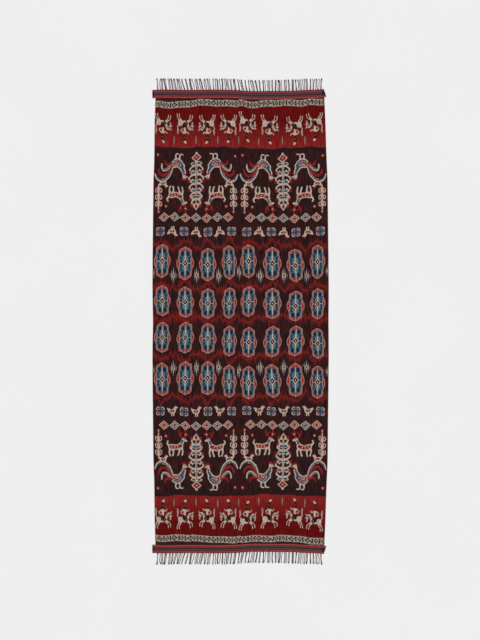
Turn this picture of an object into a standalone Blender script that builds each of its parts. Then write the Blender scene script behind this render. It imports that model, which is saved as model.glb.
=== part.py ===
"""Ikat mantle cloth: two warp-ikat panels seamed down the middle, a stout woven band across
each end, and the twisted warp ends standing out of the bands as fringe. It lies flat, face up.

Metres, +Z up. X runs across the cloth, Y along its warp. The origin is the middle of the cloth,
on the surface it lies on.
"""

import math
import random

import bmesh
import bpy

MM = 0.001

# Driving dimensions
CLOTH_HALF_WIDTH = 511.5 * MM
CLOTH_THICKNESS = 1.4 * MM
BAND_WIDTH = 48 * MM
BAND_THICKNESS = 2.4 * MM
BAND_LEFT_END = -511.5 * MM
BAND_RIGHT_END_OUTER = 483 * MM
BAND_RIGHT_END_INNER = 498 * MM
FRINGE_LENGTH = 67 * MM
FRINGE_LEFT = -488 * MM
FRINGE_RIGHT = 474 * MM
STRAND_COUNT = 110
STRAND_WIDTH = 3.6 * MM
STRAND_THICKNESS = 2.6 * MM
STRIP_DEPTH = 3 * MM
PIECE_GAP = 0.3 * MM

# How far each side edge is drawn in from the full half width, by distance from the middle
SIDE_EDGE = (
    # y, left, right
    (0.00, 0.004, 0.001),
    (0.22, 0.001, 0.000),
    (0.58, 0.004, 0.004),
    (0.82, 0.007, 0.007),
    (0.93, 0.011, 0.012),
    (1.16, 0.014, 0.020),
    (1.30, 0.019, 0.026),
)

# The seam between the panels, by distance from the middle
SEAM = (
    # y, x
    (0.00, -0.006),
    (0.50, -0.008),
    (1.30, -0.012),
)

# The wavy middle line of the end band
BAND_LINE = (
    # x, y
    (-0.512, 1.3185),
    (-0.440, 1.3205),
    (-0.320, 1.3185),
    (-0.145, 1.3200),
    (-0.020, 1.3175),
    (0.058, 1.3115),
    (0.200, 1.3125),
    (0.290, 1.3130),
    (0.377, 1.3180),
    (0.452, 1.3205),
    (0.500, 1.3270),
)

# Soft ripples where the band draws the cloth in
RIPPLES = (
    # x, drift, height, half width, reach
    (-0.430, -0.010, 0.0030, 0.034, 0.24),
    (-0.265, 0.012, 0.0026, 0.040, 0.31),
    (-0.115, -0.008, 0.0034, 0.034, 0.22),
    (0.026, 0.014, 0.0060, 0.030, 0.27),
    (0.165, -0.010, 0.0024, 0.038, 0.30),
    (0.315, 0.010, 0.0034, 0.036, 0.22),
    (0.440, 0.008, 0.0028, 0.030, 0.28),
)
RIPPLE_START = 0.010
RIPPLE_PEAK = 0.060

# How the fringe leans: sideways shift of a strand's tip, by where its root is
LEAN = (
    # x, shift
    (-0.490, -0.003),
    (-0.400, -0.013),
    (-0.250, -0.015),
    (-0.150, -0.005),
    (-0.060, -0.008),
    (0.060, -0.014),
    (0.160, -0.005),
    (0.330, -0.004),
    (0.480, 0.004),
)
STRAND_SEED = 11
STRAND_RINGS = (0.0, 0.30, 0.66, 1.0)
TIP_SHARE = 0.62
ROOT_JITTER = 1.0 * MM
TIP_JITTER = 2.3 * MM
BOW_JITTER = 2.2 * MM
LENGTH_JITTER = 4.0 * MM

# Rows along the cloth, by distance from the band, and evenly across the middle
END_ROWS = (0.0, RIPPLE_START, 0.035, RIPPLE_PEAK, 0.10, 0.15, 0.21, 0.31)
MIDDLE_ROWS = 7
BAND_STEPS = 28
LEAST_COLUMN = 8 * MM

CLOTH_COLOUR = (0.11, 0.03, 0.03)
BAND_COLOUR = (0.20, 0.05, 0.05)
FRINGE_COLOUR = (0.42, 0.33, 0.31)
CLOTH_ROUGHNESS = 0.9
BAND_ROUGHNESS = 0.85


def smooth(table, x, column=1):
    """The value of a table's column at x, on a smooth curve through its rows."""
    rows = list(table)
    if x <= rows[0][0]:
        return rows[0][column]
    if x >= rows[-1][0]:
        return rows[-1][column]
    i = max(k for k in range(len(rows) - 1) if rows[k][0] <= x)
    x0, x1 = rows[i][0], rows[i + 1][0]
    y0, y1 = rows[i][column], rows[i + 1][column]

    def slope(k):
        low, high = max(k - 1, 0), min(k + 1, len(rows) - 1)
        return (rows[high][column] - rows[low][column]) / (rows[high][0] - rows[low][0])

    span = x1 - x0
    t = (x - x0) / span
    return (
        (2 * t**3 - 3 * t**2 + 1) * y0
        + (t**3 - 2 * t**2 + t) * span * slope(i)
        + (3 * t**2 - 2 * t**3) * y1
        + (t**3 - t**2) * span * slope(i + 1)
    )


def band_middle(x, right_end):
    """The band's middle line, straight from step to step, so that what meets its edge fits it."""
    step = (right_end - BAND_LEFT_END) / BAND_STEPS
    k = min(max(math.floor((x - BAND_LEFT_END) / step), 0), BAND_STEPS - 1)
    before = BAND_LEFT_END + k * step
    y0, y1 = smooth(BAND_LINE, before), smooth(BAND_LINE, before + step)
    return y0 + (y1 - y0) * (x - before) / step


def band_inner(x):
    return band_middle(x, BAND_RIGHT_END_INNER) - BAND_WIDTH / 2


def band_outer(x):
    return band_middle(x, BAND_RIGHT_END_OUTER) + BAND_WIDTH / 2


def side_edge(y, side):
    """The cloth's side edge, side -1 at the left and 1 at the right."""
    drawn_in = smooth(SIDE_EDGE, abs(y), 1 if side < 0 else 2)
    return side * (CLOTH_HALF_WIDTH - drawn_in)


def seam_line(y):
    return smooth(SEAM, abs(y))


def ripple_height(x, from_band):
    """How far the cloth stands off the surface, from_band metres in from the band."""
    height = 0.0
    for middle, drift, top, half, reach in RIPPLES:
        if not RIPPLE_START < from_band < reach:
            continue
        if from_band < RIPPLE_PEAK:
            rise = (from_band - RIPPLE_START) / (RIPPLE_PEAK - RIPPLE_START)
            along = 0.5 * (1 - math.cos(math.pi * rise))
        else:
            past = (from_band - RIPPLE_PEAK) / (reach - RIPPLE_PEAK)
            along = 0.5 * (1 + math.cos(math.pi * past))
        off = abs(x - middle - drift * from_band / reach) / half
        if off < 1:
            height += top * along * 0.5 * (1 + math.cos(math.pi * off))
    return height


def finish(name, bm, colour, roughness):
    """Makes an object of bm, with its material, in the cloth's collection."""
    mesh = bpy.data.meshes.new(name)
    bm.to_mesh(mesh)
    bm.free()
    material = bpy.data.materials.new(name)
    material.use_nodes = True
    shader = material.node_tree.nodes["Principled BSDF"]
    shader.inputs["Base Color"].default_value = (*colour, 1)
    shader.inputs["Roughness"].default_value = roughness
    mesh.materials.append(material)
    obj = bpy.data.objects.new(name, mesh)
    bpy.data.collections["ikat_mantle"].objects.link(obj)
    return obj


def sheet(name, bm, thickness, colour, roughness):
    """Makes an object of bm's open surface, which is its underside, and thickens it upwards."""
    bm.normal_update()
    bmesh.ops.reverse_faces(bm, faces=[f for f in bm.faces if f.normal.z < 0])
    obj = finish(name, bm, colour, roughness)
    solid = obj.modifiers.new("thickness", "SOLIDIFY")
    solid.thickness = thickness
    solid.offset = 1
    return obj


def panel_edges(y, side):
    """The left and right edge of a panel, y metres from the middle."""
    return sorted((side_edge(y, side), seam_line(y) + side * PIECE_GAP / 2))


def across_shares(side):
    """A panel's columns, as shares of its width: its edges, the kinks of the band's inner edge
    that it meets, and each ripple's crest, flanks and feet."""
    low, high = panel_edges(band_inner(0), side)
    step = (BAND_RIGHT_END_INNER - BAND_LEFT_END) / BAND_STEPS
    wanted = [BAND_LEFT_END + k * step for k in range(BAND_STEPS)]
    for middle, drift, _, half, _ in RIPPLES:
        wanted += [middle + drift / 2 + share * half for share in (0, -0.5, 0.5, -1, 1)]
    columns = [low, high]
    for x in wanted:
        if low < x < high and all(abs(x - column) > LEAST_COLUMN for column in columns):
            columns.append(x)
    return [(x - low) / (high - low) for x in sorted(columns)]


def along_shares():
    """Shares of the way from the middle to the band, close together where the ripples are."""
    length = band_inner(0)
    near_band = [1 - d / length for d in END_ROWS]
    far = min(near_band)
    middle = [far * k / MIDDLE_ROWS for k in range(1, MIDDLE_ROWS)]
    half = sorted(middle + near_band)
    return [-t for t in reversed(half)] + [0.0] + half


def panel(name, side, colour):
    """One loom width of cloth: side -1 is left of the seam, 1 right of it."""
    shares_across = across_shares(side)
    shares_along = along_shares()
    bm = bmesh.new()
    bmesh.ops.create_grid(
        bm, x_segments=len(shares_across) - 1, y_segments=len(shares_along) - 1, size=0.5
    )
    for v in bm.verts:
        column = round((v.co.x + 0.5) * (len(shares_across) - 1))
        row = round((v.co.y + 0.5) * (len(shares_along) - 1))
        t = shares_along[row]
        left, right = panel_edges(t * band_inner(0), side)
        x = left + shares_across[column] * (right - left)
        end = band_inner(x) - PIECE_GAP
        v.co = (x, t * end, ripple_height(x, (1 - abs(t)) * end))
    return sheet(name, bm, CLOTH_THICKNESS, colour, CLOTH_ROUGHNESS)


def end_band(name, end, colour):
    """The band woven across the warp ends: end 1 is at +Y, -1 at -Y."""
    bm = bmesh.new()
    bmesh.ops.create_grid(bm, x_segments=BAND_STEPS, y_segments=1, size=0.5)
    for v in bm.verts:
        outer = v.co.y > 0
        right = BAND_RIGHT_END_OUTER if outer else BAND_RIGHT_END_INNER
        x = BAND_LEFT_END + (v.co.x + 0.5) * (right - BAND_LEFT_END)
        y = band_outer(x) if outer else band_inner(x)
        v.co = (x, end * y, 0)
    return sheet(name, bm, BAND_THICKNESS, colour, BAND_ROUGHNESS)


def strands():
    """Each strand as its root x, tip x, bow and length, from left to right."""
    draw = random.Random(STRAND_SEED)
    pitch = (FRINGE_RIGHT - FRINGE_LEFT) / STRAND_COUNT
    found = []
    for k in range(STRAND_COUNT):
        root = FRINGE_LEFT + (k + 0.5) * pitch + draw.uniform(-1, 1) * ROOT_JITTER
        tip = root + smooth(LEAN, root) + draw.uniform(-1, 1) * TIP_JITTER
        bow = draw.uniform(-1, 1) * BOW_JITTER
        length = FRINGE_LENGTH - abs(draw.uniform(-1, 1)) * LENGTH_JITTER
        found.append((root, tip, bow, length))
    return found


def fringe(name, end, colour):
    """A narrow strip against the band's outer edge, with every strand drawn out of its side."""
    edges = [FRINGE_LEFT]
    roots = strands()
    for root, _, _, _ in roots:
        edges += [root - STRAND_WIDTH / 2, root + STRAND_WIDTH / 2]
    edges.append(FRINGE_RIGHT)
    bm = bmesh.new()
    bmesh.ops.create_cube(bm, size=1)
    cuts = [e for e in bm.edges if abs(e.verts[0].co.x - e.verts[1].co.x) > 0.5]
    bmesh.ops.subdivide_edges(bm, edges=cuts, cuts=len(edges) - 2, use_grid_fill=True)
    for v in bm.verts:
        x = edges[round((v.co.x + 0.5) * (len(edges) - 1))]
        y = band_outer(x) + PIECE_GAP + (STRIP_DEPTH if v.co.y > 0 else 0)
        v.co = (x, y, STRAND_THICKNESS if v.co.z > 0 else 0)
    bm.normal_update()
    outer = [f for f in bm.faces if f.normal.y > 0.9 and len(f.verts) == 4]
    outer.sort(key=lambda f: f.calc_center_median().x)
    for face, (root, tip, bow, length) in zip(outer[1::2], roots):
        base = band_outer(root) + PIECE_GAP + STRIP_DEPTH
        for t in STRAND_RINGS[1:]:
            face = bmesh.ops.extrude_discrete_faces(bm, faces=[face])["faces"][0]
            share = 1 + (TIP_SHARE - 1) * t
            x = root + (tip - root) * t + bow * math.sin(math.pi * t)
            middle = face.calc_center_median().x
            for v in face.verts:
                side = math.copysign(STRAND_WIDTH / 2, v.co.x - middle)
                top = v.co.z > STRAND_THICKNESS * 0.1
                v.co = (x + side * share, base + length * t, STRAND_THICKNESS * share if top else 0)
    for v in bm.verts:
        v.co.y *= end
    bmesh.ops.recalc_face_normals(bm, faces=bm.faces)
    return finish(name, bm, colour, CLOTH_ROUGHNESS)


def main():
    for obj in list(bpy.data.objects):
        bpy.data.objects.remove(obj)
    collection = bpy.data.collections.new("ikat_mantle")
    bpy.context.scene.collection.children.link(collection)
    panel("panel_left", -1, CLOTH_COLOUR)
    panel("panel_right", 1, CLOTH_COLOUR)
    for end, where in ((1, "top"), (-1, "bottom")):
        end_band(f"band_{where}", end, BAND_COLOUR)
        fringe(f"fringe_{where}", end, FRINGE_COLOUR)


main()
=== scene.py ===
import math
import random

import bmesh
import bpy
import numpy as np
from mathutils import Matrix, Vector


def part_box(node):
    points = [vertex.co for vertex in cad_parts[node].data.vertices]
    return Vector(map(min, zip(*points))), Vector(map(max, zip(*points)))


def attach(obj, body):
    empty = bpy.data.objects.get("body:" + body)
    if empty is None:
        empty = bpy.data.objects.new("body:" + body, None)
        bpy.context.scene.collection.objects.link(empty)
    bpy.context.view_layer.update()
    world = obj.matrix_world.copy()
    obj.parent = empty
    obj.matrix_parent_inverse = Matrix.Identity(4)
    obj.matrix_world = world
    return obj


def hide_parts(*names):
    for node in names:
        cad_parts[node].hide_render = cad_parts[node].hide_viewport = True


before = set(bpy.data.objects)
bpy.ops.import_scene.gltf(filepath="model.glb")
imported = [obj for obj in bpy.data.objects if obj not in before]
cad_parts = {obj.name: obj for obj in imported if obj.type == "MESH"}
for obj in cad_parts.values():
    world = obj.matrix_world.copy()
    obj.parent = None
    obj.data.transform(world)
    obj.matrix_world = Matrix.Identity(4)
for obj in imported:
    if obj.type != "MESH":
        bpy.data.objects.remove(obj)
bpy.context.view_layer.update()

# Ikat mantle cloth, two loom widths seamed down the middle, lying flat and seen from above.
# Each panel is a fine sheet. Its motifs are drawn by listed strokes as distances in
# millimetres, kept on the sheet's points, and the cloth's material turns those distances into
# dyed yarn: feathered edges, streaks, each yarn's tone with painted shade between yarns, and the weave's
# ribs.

MM = 0.001

# The cloth's sizes in metres, some of them read off the frame
BAND_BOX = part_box("band_top")
FRINGE_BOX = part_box("fringe_top")
CLOTH_THICKNESS = 1.4 * MM
BAND_WIDTH = 48 * MM
BAND_THICKNESS = BAND_BOX[1].z
BAND_LEFT_END = BAND_BOX[0].x
BAND_RIGHT_END_INNER = BAND_BOX[1].x
BAND_RIGHT_END_OUTER = 483 * MM
FRINGE_LEFT = -488 * MM
FRINGE_RIGHT = FRINGE_BOX[1].x
FRINGE_LENGTH = 67 * MM
CLOTH_HALF_WIDTH = 511.5 * MM
PIECE_GAP = 0.3 * MM

# Sizes in millimetres, as the finishes read them
YARN_MM = 0.85
PICK_MM = 1.5
RIB_MM = 8.75
BAND_YARN_MM = 1.1
BAND_MIDDLE_ACROSS = (BAND_LEFT_END + BAND_RIGHT_END_OUTER) / 2 / MM
BAND_HALF_LENGTH = (BAND_RIGHT_END_OUTER - BAND_LEFT_END) / 2 / MM
BUMP_DEPTH = 0.0003

# Each panel's fine grid of faces
COLUMNS = 154
ROWS = 618

# How far each side edge is drawn in from the full half width, by distance from the middle
SIDE_EDGE = (
    # y, left, right
    (0.00, 0.004, 0.001),
    (0.22, 0.001, 0.000),
    (0.58, 0.004, 0.004),
    (0.82, 0.007, 0.007),
    (0.93, 0.011, 0.012),
    (1.16, 0.014, 0.020),
    (1.30, 0.019, 0.026),
)

# The seam between the panels, by distance from the middle
SEAM = (
    # y, x
    (0.00, -0.006),
    (0.50, -0.008),
    (1.30, -0.012),
)

# The wavy middle line of the end band
BAND_LINE = (
    # x, y
    (-0.512, 1.3185),
    (-0.440, 1.3205),
    (-0.320, 1.3185),
    (-0.145, 1.3200),
    (-0.020, 1.3175),
    (0.058, 1.3115),
    (0.200, 1.3125),
    (0.290, 1.3130),
    (0.377, 1.3180),
    (0.452, 1.3205),
    (0.500, 1.3270),
)
BAND_STEPS = 28

# Soft ripples where the band draws the cloth in
RIPPLES = (
    # x, drift, height, half width, reach
    (-0.430, -0.010, 0.0030, 0.034, 0.24),
    (-0.265, 0.012, 0.0026, 0.040, 0.31),
    (-0.115, -0.008, 0.0034, 0.034, 0.22),
    (0.026, 0.014, 0.0060, 0.030, 0.27),
    (0.165, -0.010, 0.0024, 0.038, 0.30),
    (0.315, 0.010, 0.0034, 0.036, 0.22),
    (0.440, 0.008, 0.0028, 0.030, 0.28),
)
RIPPLE_START = 0.010
RIPPLE_PEAK = 0.060

# How the fringe leans: sideways shift of a strand's tip, by where its root is
LEAN = (
    # x, shift
    (-0.490, -0.003),
    (-0.400, -0.013),
    (-0.250, -0.015),
    (-0.150, -0.005),
    (-0.060, -0.008),
    (0.060, -0.014),
    (0.160, -0.005),
    (0.330, -0.004),
    (0.480, 0.004),
)
STRAND_SEED = 11
STRAND_COUNT = 110
ROOT_JITTER = 1.0 * MM
TIP_JITTER = 2.3 * MM
BOW_JITTER = 2.2 * MM
LENGTH_JITTER = 4.0 * MM

# The photo's frame, for the camera
FRAME_WIDTH, FRAME_HEIGHT = 480, 640
METRES_PER_PIXEL = 5.8 * MM
CLOTH_MIDDLE_PIXEL = (240.0, 321.0)
LENS_MM = 85
SENSOR_MM = 36
CAMERA_REACH = 100.0


# The cloth's shape

def smooth(table, x, column=1):
    """The value of a table's column at x, on a smooth curve through its rows."""
    rows = list(table)
    if x <= rows[0][0]:
        return rows[0][column]
    if x >= rows[-1][0]:
        return rows[-1][column]
    i = max(k for k in range(len(rows) - 1) if rows[k][0] <= x)
    x0, x1 = rows[i][0], rows[i + 1][0]
    y0, y1 = rows[i][column], rows[i + 1][column]

    def slope(k):
        low, high = max(k - 1, 0), min(k + 1, len(rows) - 1)
        return (rows[high][column] - rows[low][column]) / (rows[high][0] - rows[low][0])

    span = x1 - x0
    t = (x - x0) / span
    return (
        (2 * t**3 - 3 * t**2 + 1) * y0
        + (t**3 - 2 * t**2 + t) * span * slope(i)
        + (3 * t**2 - 2 * t**3) * y1
        + (t**3 - t**2) * span * slope(i + 1)
    )


def smooth_all(table, xs, column=1):
    """smooth at many places, read off a fine table of its own values."""
    fine = np.linspace(table[0][0], table[-1][0], 400)
    return np.interp(xs, fine, [smooth(table, x, column) for x in fine])


def band_middle(x, right_end):
    """The band's middle line, straight from step to step."""
    kinks = np.linspace(BAND_LEFT_END, right_end, BAND_STEPS + 1)
    return np.interp(x, kinks, smooth_all(BAND_LINE, kinks))


def band_inner(x):
    """The band's edge beside the cloth."""
    return band_middle(x, BAND_RIGHT_END_INNER) - BAND_WIDTH / 2


def band_outer(x):
    """The band's edge beside the fringe."""
    return band_middle(x, BAND_RIGHT_END_OUTER) + BAND_WIDTH / 2


def panel_edges(y, side):
    """The left and right edges of a panel, y metres from the middle: side -1 is left."""
    drawn_in = smooth_all(SIDE_EDGE, y, 1 if side < 0 else 2)
    outer = side * (CLOTH_HALF_WIDTH - drawn_in)
    seam = smooth_all(SEAM, y)
    return (outer, seam) if side < 0 else (seam, outer)


def ripple_height(x, from_band):
    """How far the cloth stands off the surface, from_band metres in from the band."""
    height = np.zeros_like(x)
    for middle, drift, top, half, reach in RIPPLES:
        rise = np.clip((from_band - RIPPLE_START) / (RIPPLE_PEAK - RIPPLE_START), 0, 1)
        fall = np.clip((from_band - RIPPLE_PEAK) / (reach - RIPPLE_PEAK), 0, 1)
        along = 0.25 * (1 - np.cos(math.pi * rise)) * (1 + np.cos(math.pi * fall))
        off = np.minimum(np.abs(x - middle - drift * from_band / reach) / half, 1)
        height += top * along * 0.5 * (1 + np.cos(math.pi * off))
    return height


# Nodes written as sums

class Wire:
    """One value in a finish's nodes. Operators on it and the calls below add Math nodes."""

    def __init__(self, finish, socket):
        self.finish = finish
        self.socket = socket

    def math(self, operation, *values, clamped=False):
        settings = {"operation": operation, "use_clamp": clamped}
        return self.finish.node("ShaderNodeMath", settings, dict(enumerate(values)))

    def __add__(self, other):
        return self.math("ADD", self, other)

    __radd__ = __add__

    def __sub__(self, other):
        return self.math("SUBTRACT", self, other)

    def __rsub__(self, other):
        return self.math("SUBTRACT", other, self)

    def __mul__(self, other):
        return self.math("MULTIPLY", self, other)

    __rmul__ = __mul__

    def __truediv__(self, other):
        return self.math("DIVIDE", self, other)

    def floor(self):
        return self.math("FLOOR", self)

    def part(self):
        return self.math("FRACT", self)

    def size(self):
        return self.math("ABSOLUTE", self)

    def sine(self):
        return self.math("SINE", self)

    def least(self, other):
        return self.math("MINIMUM", self, other)

    def most(self, other):
        return self.math("MAXIMUM", self, other)

    def within(self):
        """Kept between 0 and 1."""
        return self.math("ADD", self, 0.0, clamped=True)


class Finish:
    """A material whose nodes are added by the calls below."""

    def __init__(self, name, roughness, shine=0.15):
        self.material = bpy.data.materials.new(name)
        self.material.use_nodes = True
        self.tree = self.material.node_tree
        self.shader = self.tree.nodes["Principled BSDF"]
        self.shader.inputs["Roughness"].default_value = roughness
        self.shader.inputs["Specular IOR Level"].default_value = shine

    def node(self, kind, settings, values, output=0):
        """Adds a node: its settings first, then the values or links of its sockets."""
        made = self.tree.nodes.new(kind)
        for key, value in settings.items():
            if key == "stops":
                self.set_stops(made.color_ramp, value)
            else:
                setattr(made, key, value)
        for key, value in values.items():
            if isinstance(value, Wire):
                self.tree.links.new(value.socket, made.inputs[key])
            else:
                made.inputs[key].default_value = value
        return Wire(self, made.outputs[output])

    @staticmethod
    def set_stops(ramp, stops):
        """Gives a colour ramp its stops, each a place and a colour."""
        while len(ramp.elements) < len(stops):
            ramp.elements.new(1.0)
        for element, (place, colour) in zip(ramp.elements, stops):
            element.position = place
            element.color = colour

    def stored(self, name):
        """The three numbers that the sheet's points hold under this name."""
        found = self.node("ShaderNodeAttribute", {"attribute_name": name}, {}, "Vector")
        split = self.node("ShaderNodeSeparateXYZ", {}, {0: found})
        outputs = split.socket.node.outputs
        return tuple(Wire(self, outputs[k]) for k in range(3))

    def noise(self, x, y, detail=2):
        """Soft noise about 0.5, in the units of x and y."""
        place = self.node("ShaderNodeCombineXYZ", {}, {0: x, 1: y})
        values = {"Vector": place, "Scale": 1.0, "Detail": detail}
        return self.node("ShaderNodeTexNoise", {"noise_dimensions": "2D"}, values, "Fac")

    def chance(self, value):
        """An even random number from 0 to 1 for each whole value."""
        return self.node("ShaderNodeTexWhiteNoise", {"noise_dimensions": "1D"}, {"W": value}, "Value")

    def profile(self, value, rows):
        """The height at value of a line through rows of place and height."""
        last = rows[-1][0]
        top = max(abs(height) for _, height in rows)
        stops = [(place / last, (*[0.5 + height / (2 * top)] * 3, 1.0)) for place, height in rows]
        ramp = self.node("ShaderNodeValToRGB", {"stops": stops}, {0: value / last})
        return (ramp - 0.5) * (2 * top)

    def mix(self, share, first, second):
        """A colour from first, at share 0, to second, at share 1."""
        settings = {"data_type": "RGBA", "clamp_factor": True}
        return self.node("ShaderNodeMix", settings, {0: share, 6: first, 7: second}, 2)

    def shaded(self, colour, value):
        """A colour times a value."""
        settings = {"data_type": "RGBA", "blend_type": "MULTIPLY", "clamp_factor": False}
        return self.node("ShaderNodeMix", settings, {0: 1.0, 6: colour, 7: value}, 2)

    def paint(self, colour):
        """Gives the surface this colour."""
        self.tree.links.new(colour.socket, self.shader.inputs["Base Color"])

    def emboss(self, height, strength):
        """Raises the surface by height, in light and shade alone."""
        values = {"Strength": strength, "Distance": BUMP_DEPTH, "Height": height}
        bump = self.node("ShaderNodeBump", {}, values)
        self.tree.links.new(bump.socket, self.shader.inputs["Normal"])


# Dyes

TONES = {
    # the two tones that each dye varies between, as display values from 0 to 255
    "ground": ((20, 12, 12), (64, 32, 31)),
    "flame": ((158, 38, 35), (70, 19, 20)),
    "end red": ((68, 2, 3), (116, 19, 18)),
    "border": ((176, 164, 150), (134, 124, 114)),
    "border ink": ((22, 14, 14), (48, 32, 31)),
    "rosette cream": ((208, 188, 172), (172, 152, 138)),
    "rosette ring": ((128, 22, 27), (176, 92, 82)),
    "petals": ((60, 92, 100), (7, 27, 58)),
    "haze": ((48, 70, 84), (132, 130, 126)),
    "figure cream": ((208, 190, 172), (166, 148, 134)),
    "figure blue": ((18, 48, 76), (60, 88, 102)),
    "figure red": ((114, 17, 21), (148, 39, 37)),
    "figure dark": ((34, 14, 16), (62, 28, 30)),
    "undyed yarn": ((178, 160, 158), (128, 108, 108)),
    "maroon yarn": ((92, 42, 48), (54, 22, 30)),
    "black yarn": ((62, 56, 60), (36, 32, 36)),
    "sewing thread": ((52, 26, 26), (98, 50, 48)),
    "floor": ((238, 238, 238), (240, 240, 240)),
}
DYES = {
    # plain dyes, as display values
    "indigo black": (25, 22, 29),
    "rust": (74, 22, 22),
    "strip by the band": (98, 34, 32),
    "about the flames": (84, 24, 24),
    "end red fleck": (56, 2, 4),
    "end red worn": (152, 46, 43),
    "grey streak": (128, 112, 110),
    "pale streak": (164, 146, 138),
    "burst lozenge": (196, 180, 166),
    "burst eye": (46, 22, 22),
    "petal fleck": (34, 80, 98),
    "between petals": (92, 118, 122),
    "ring edge": (168, 132, 120),
    "ring cap": (132, 14, 24),
    "petal edge": (172, 150, 138),
    "eye ring": (50, 10, 16),
    "eye dot": (218, 208, 196),
    "cream mottle": (112, 108, 102),
    "edge stripe": (92, 20, 26),
    "figure shade": (88, 90, 90),
    "figure grey": (112, 112, 112),
    "band end": (24, 14, 18),
    "bound tip": (58, 24, 36),
    "strand root": (60, 30, 34),
}


def display(red, green, blue):
    """A colour from its display values, 0 to 255."""
    def linear(value):
        share = value / 255
        return share / 12.92 if share <= 0.04045 else ((share + 0.055) / 1.055) ** 2.4

    return (linear(red), linear(green), linear(blue), 1.0)


def dye(name):
    """One of the plain dyes."""
    return display(*DYES[name])


def tones(name):
    """The two tones of a dye that varies."""
    return tuple(display(*values) for values in TONES[name])


# Motif shapes: each gives a point's distance from its edge, below nothing inside, in millimetres.
# y runs up towards the middle of the cloth, and reach says how far the shape runs aside, down and up.

FAR = 99.0


def stroke(*points):
    """A line of changing thickness through points of x, y and radius."""
    def distance(px, py):
        best = np.full(px.shape, FAR)
        for (x0, y0, r0), (x1, y1, r1) in zip(points, points[1:]):
            dx, dy = x1 - x0, y1 - y0
            t = np.clip(((px - x0) * dx + (py - y0) * dy) / (dx * dx + dy * dy), 0, 1)
            from_line = np.hypot(px - x0 - t * dx, py - y0 - t * dy)
            best = np.minimum(best, from_line - r0 - (r1 - r0) * t)
        return best

    xs, ys, radii = zip(*points)
    reach = max(radii)
    distance.reach = (max(map(abs, xs)) + reach, min(ys) - reach, max(ys) + reach)
    return distance


def bend(*points, steps=5):
    """A stroke on a smooth curve through the points."""
    ends = (points[0], *points, points[-1])
    fine = [points[0]]
    for k in range(1, len(ends) - 2):
        before, start, end, after = ends[k - 1 : k + 3]
        for step in range(1, steps + 1):
            t = step / steps
            fine.append(tuple(
                0.5 * (
                    2 * b + (c - a) * t
                    + (2 * a - 5 * b + 4 * c - d) * t**2
                    + (3 * b - a - 3 * c + d) * t**3
                )
                for a, b, c, d in zip(before, start, end, after)
            ))
    return stroke(*fine)


def diamond(x, y, across, up):
    """A filled diamond of half width across and half height up."""
    def distance(px, py):
        share = np.abs(px - x) / across + np.abs(py - y) / up - 1
        return share * across * up / math.hypot(across, up)

    distance.reach = (abs(x) + across, y - up, y + up)
    return distance


def oval(x, y, across, up):
    """A filled oval of half width across and half height up."""
    def distance(px, py):
        share = np.hypot((px - x) / across, (py - y) / up)
        return (share - 1) * min(across, up)

    distance.reach = (abs(x) + across, y - up, y + up)
    return distance


def rim(shape, half):
    """A line along a shape's edge that reaches half to either side."""
    def distance(px, py):
        return np.abs(shape(px, py)) - half

    side, low, high = shape.reach
    distance.reach = (side + half, low - half, high + half)
    return distance


def inset(shape, depth):
    """A shape drawn in all round by depth, or let out if depth is negative."""
    def distance(px, py):
        return shape(px, py) + depth

    side, low, high = shape.reach
    distance.reach = (side - depth, low + depth, high - depth)
    return distance


def four_corners(shape):
    """A shape and its mirror images, across and up."""
    def distance(px, py):
        return shape(np.abs(px), np.abs(py))

    side, _, high = shape.reach
    distance.reach = (side, -high, high)
    return distance


def both_sides(*marks):
    """Each mark and its mirror image."""
    def mirrored(shape):
        def distance(px, py):
            return np.minimum(shape(px, py), shape(-px, py))

        distance.reach = shape.reach
        return distance

    return tuple((layer, mirrored(shape)) for layer, shape in marks)


def horse_and_rider():
    """A horse stepping to the right with its rider, standing on y = 0."""
    return (
        ("cream", bend((-29, 57, 16), (-6, 52, 11), (16, 50, 9))),
        ("cream", bend((14, 56, 7.5), (22, 76, 7), (33, 91, 7))),
        ("cream", bend((34, 92, 7), (43, 84, 7), (46, 68, 5.4), (47, 53, 3.2))),
        ("cream", stroke((48, 92, 3), (55, 103, 1.6))),
        ("cream", stroke((50, 78, 2.6), (58, 76, 1.4))),
        ("cream", bend((-38, 66, 3.6), (-48, 80, 2.4), (-45, 93, 2.8), (-45, 107, 6.2), (-47, 123, 2.6))),
        ("cream", bend((-34, 44, 6), (-45, 29, 2.6), (-51, 14, 2.2), (-51, 1, 3))),
        ("cream", bend((-26, 44, 6), (-27, 32, 2.8), (-38, 17, 2.2), (-38, 1, 3))),
        ("cream", bend((16, 43, 4.4), (27, 32, 2.5), (32, 19, 2.2), (33, 6, 2.6))),
        ("cream", bend((22, 46, 4.4), (38, 38, 2.5), (46, 26, 2.2), (47, 9, 2.6))),
        ("cream", bend((0, 80, 3.6), (-1, 98, 6.2), (-2, 112, 9.5))),
        ("cream", stroke((-12, 116, 3.6), (8, 115, 3.6))),
        ("cream", bend((-13, 115, 3), (-25, 103, 2.6), (-19, 91, 2.4), (-7, 91, 2.4))),
        ("cream", bend((8, 113, 3), (18, 109, 2.6), (25, 120, 2.6))),
        ("cream", bend((-2, 166, 5.0), (2, 171, 7.0), (7, 176, 4.4))),
        ("shade", stroke((-26, 50, 1), (-28, 64, 1.6))),
        ("shade", bend((22, 72, 3), (28, 82, 5), (38, 88, 3))),
        ("shade", stroke((-45, 103, 4.8), (-46, 117, 4.6))),
        ("shade", oval(46, 66, 4, 7)),
        ("dark", oval(-2, 66, 14, 17)),
        ("dark", bend((8, 66, 6), (14, 56, 6), (8, 45, 4), (4, 28, 2.6))),
        ("dark", bend((-3, 124, 4.6), (-6, 138, 7.2), (-4, 156, 8.0))),
        ("dark", oval(42, 84, 5.6, 5.4)),
        ("pale", stroke((6, 62, 1.8), (13, 50, 1.8))),
        ("pale", oval(-5, 143, 3.6, 3.4)),
    )


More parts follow.
